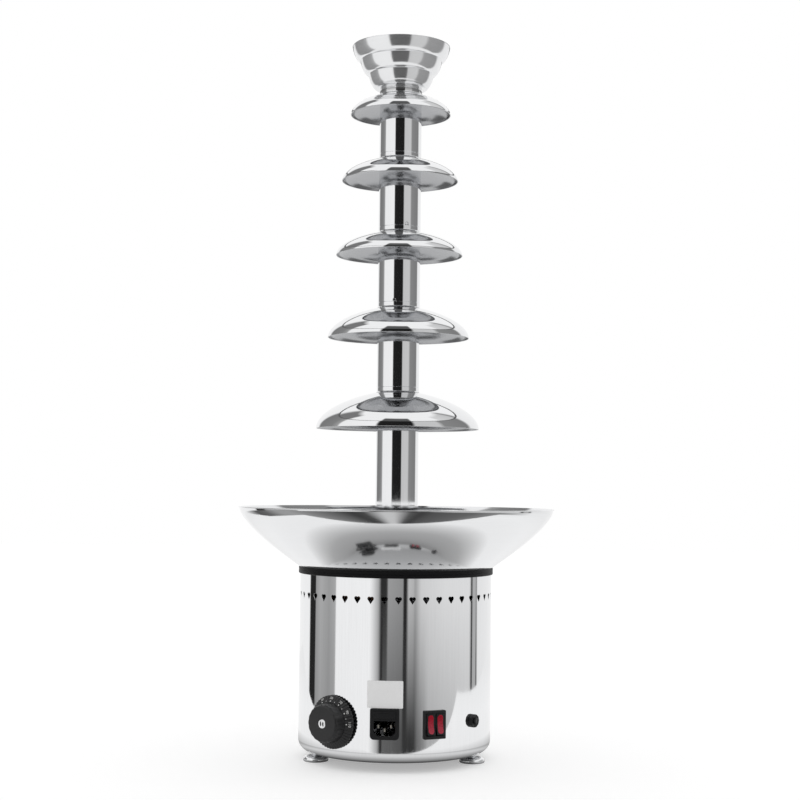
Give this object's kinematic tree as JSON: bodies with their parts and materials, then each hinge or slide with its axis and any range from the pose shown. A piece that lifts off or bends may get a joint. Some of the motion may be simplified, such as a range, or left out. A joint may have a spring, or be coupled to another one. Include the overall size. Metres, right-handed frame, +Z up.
{
  "type": "chocolate fountain",
  "caption": "Tiered chocolate fountain: stepped crown and cascade domes on stacked tubes round an auger, heated bowl, and a drum base with motor, thermostat knob and switches.",
  "frame": {"origin": "on the table, under the tower's axis", "axes": "+Z up along the tower's axis, the controls face -Y, +X to the right seen from the controls"},
  "size_m": [0.3699, 0.37, 0.84],
  "materials": {
    "polished_steel": "mirror-polished stainless steel",
    "plain_steel": "plain mill-finish steel",
    "chrome": "bright chrome",
    "black_rubber": "soft black rubber",
    "brass": "turned brass",
    "copper": "drawn copper",
    "black_plastic": "fine satin black",
    "red_plastic": "glossy translucent red",
    "pale_plastic": "matte off-white",
    "clear_glass": "clear glass tube",
    "silver_label": "satin silver foil"
  },
  "bodies": {
    "base": {"bowl": "polished_steel", "bowl_gasket": "black_rubber", "drum_shell": "polished_steel", "bottom_cover": "plain_steel", "cover_screws": "plain_steel", "feet": "chrome", "foot_nuts": "plain_steel", "bearing_hub": "plain_steel", "shaft_bushes": "brass", "shaft_seal": "black_rubber", "gear_plate": "plain_steel", "gearbox_cover": "plain_steel", "plate_posts": "plain_steel", "post_screws": "plain_steel", "motor_case": "plain_steel", "heater_ring": "plain_steel", "heater_clamp": "plain_steel", "thermostat_body": "pale_plastic", "capillary": "copper", "inlet_body": "black_plastic", "inlet_pins": "brass", "switch_frame": "black_plastic", "breaker_body": "black_plastic", "breaker_nut": "black_plastic", "rating_plate": "silver_label", "terminal_block": "pale_plastic", "capacitor": "plain_steel"},
    "drive": {"drive_shaft": "polished_steel", "drive_pin": "plain_steel", "output_gear": "brass"},
    "rotor": {"motor_shaft": "plain_steel", "pinion": "brass"},
    "auger": {"auger_shaft": "polished_steel", "auger_flight": "polished_steel"},
    "tier_5": {"tube_5": "polished_steel", "dome_5": "polished_steel"},
    "tier_4": {"tube_4": "polished_steel", "dome_4": "polished_steel"},
    "tier_3": {"tube_3": "polished_steel", "dome_3": "polished_steel"},
    "tier_2": {"tube_2": "polished_steel", "dome_2": "polished_steel"},
    "tier_1": {"tube_1": "polished_steel", "dome_1": "polished_steel"},
    "crown": {"crown": "polished_steel"},
    "knob": {"knob_skirt": "black_plastic", "knob_cap": "black_plastic", "knob_disc": "polished_steel", "thermostat_spindle": "plain_steel"},
    "rocker_heat": {"rocker_heat": "red_plastic"},
    "rocker_motor": {"rocker_motor": "red_plastic"},
    "reset_button": {"reset_button": "black_plastic"},
    "fuse_drawer": {"fuse_drawer": "black_plastic", "fuse": "clear_glass"}
  },
  "joints": [
    {"name": "drive_spin", "type": "hinge", "parent": "base", "child": "drive", "pos_m": [0, 0, 0.2], "axis": [0, 0, 1], "continuous": true},
    {"name": "motor_spin", "type": "hinge", "parent": "base", "child": "rotor", "pos_m": [0, 0.0375, 0.1], "axis": [0, 0, 1], "continuous": true},
    {"name": "auger_lift", "type": "slide", "parent": "drive", "child": "auger", "axis": [0, 0, 1], "range_m": [0, 0.62]},
    {"name": "tier_5_lift", "type": "slide", "parent": "base", "child": "tier_5", "axis": [0, 0, 1], "range_m": [0, 0.06]},
    {"name": "tier_4_lift", "type": "slide", "parent": "tier_5", "child": "tier_4", "axis": [0, 0, 1], "range_m": [0, 0.06]},
    {"name": "tier_3_lift", "type": "slide", "parent": "tier_4", "child": "tier_3", "axis": [0, 0, 1], "range_m": [0, 0.06]},
    {"name": "tier_2_lift", "type": "slide", "parent": "tier_3", "child": "tier_2", "axis": [0, 0, 1], "range_m": [0, 0.06]},
    {"name": "tier_1_lift", "type": "slide", "parent": "tier_2", "child": "tier_1", "axis": [0, 0, 1], "range_m": [0, 0.06]},
    {"name": "crown_lift", "type": "slide", "parent": "tier_1", "child": "crown", "axis": [0, 0, 1], "range_m": [0, 0.06]},
    {"name": "knob_turn", "type": "hinge", "parent": "base", "child": "knob", "pos_m": [-0.06728, -0.08929, 0.054], "axis": [0.6018, 0.7986, 0], "range_deg": [0, 270]},
    {"name": "heat_rock", "type": "hinge", "parent": "base", "child": "rocker_heat", "pos_m": [0.03839, -0.10356, 0.054], "axis": [0.9184, 0.3955, 0], "range_deg": [0, 14]},
    {"name": "motor_rock", "type": "hinge", "parent": "base", "child": "rocker_motor", "pos_m": [0.04886, -0.09905, 0.054], "axis": [0.9184, 0.3955, 0], "range_deg": [0, 14]},
    {"name": "reset_press", "type": "slide", "parent": "base", "child": "reset_button", "axis": [-0.7826, 0.6225, 0], "range_m": [0, 0.002], "stiffness_N_per_m": 300},
    {"name": "fuse_slide", "type": "slide", "parent": "base", "child": "fuse_drawer", "axis": [-0.0941, -0.9956, 0], "range_m": [0, 0.016]}
  ],
  "couplings": [
    {"joint": "motor_spin", "follows": "drive_spin", "ratio": -4}
  ]
}
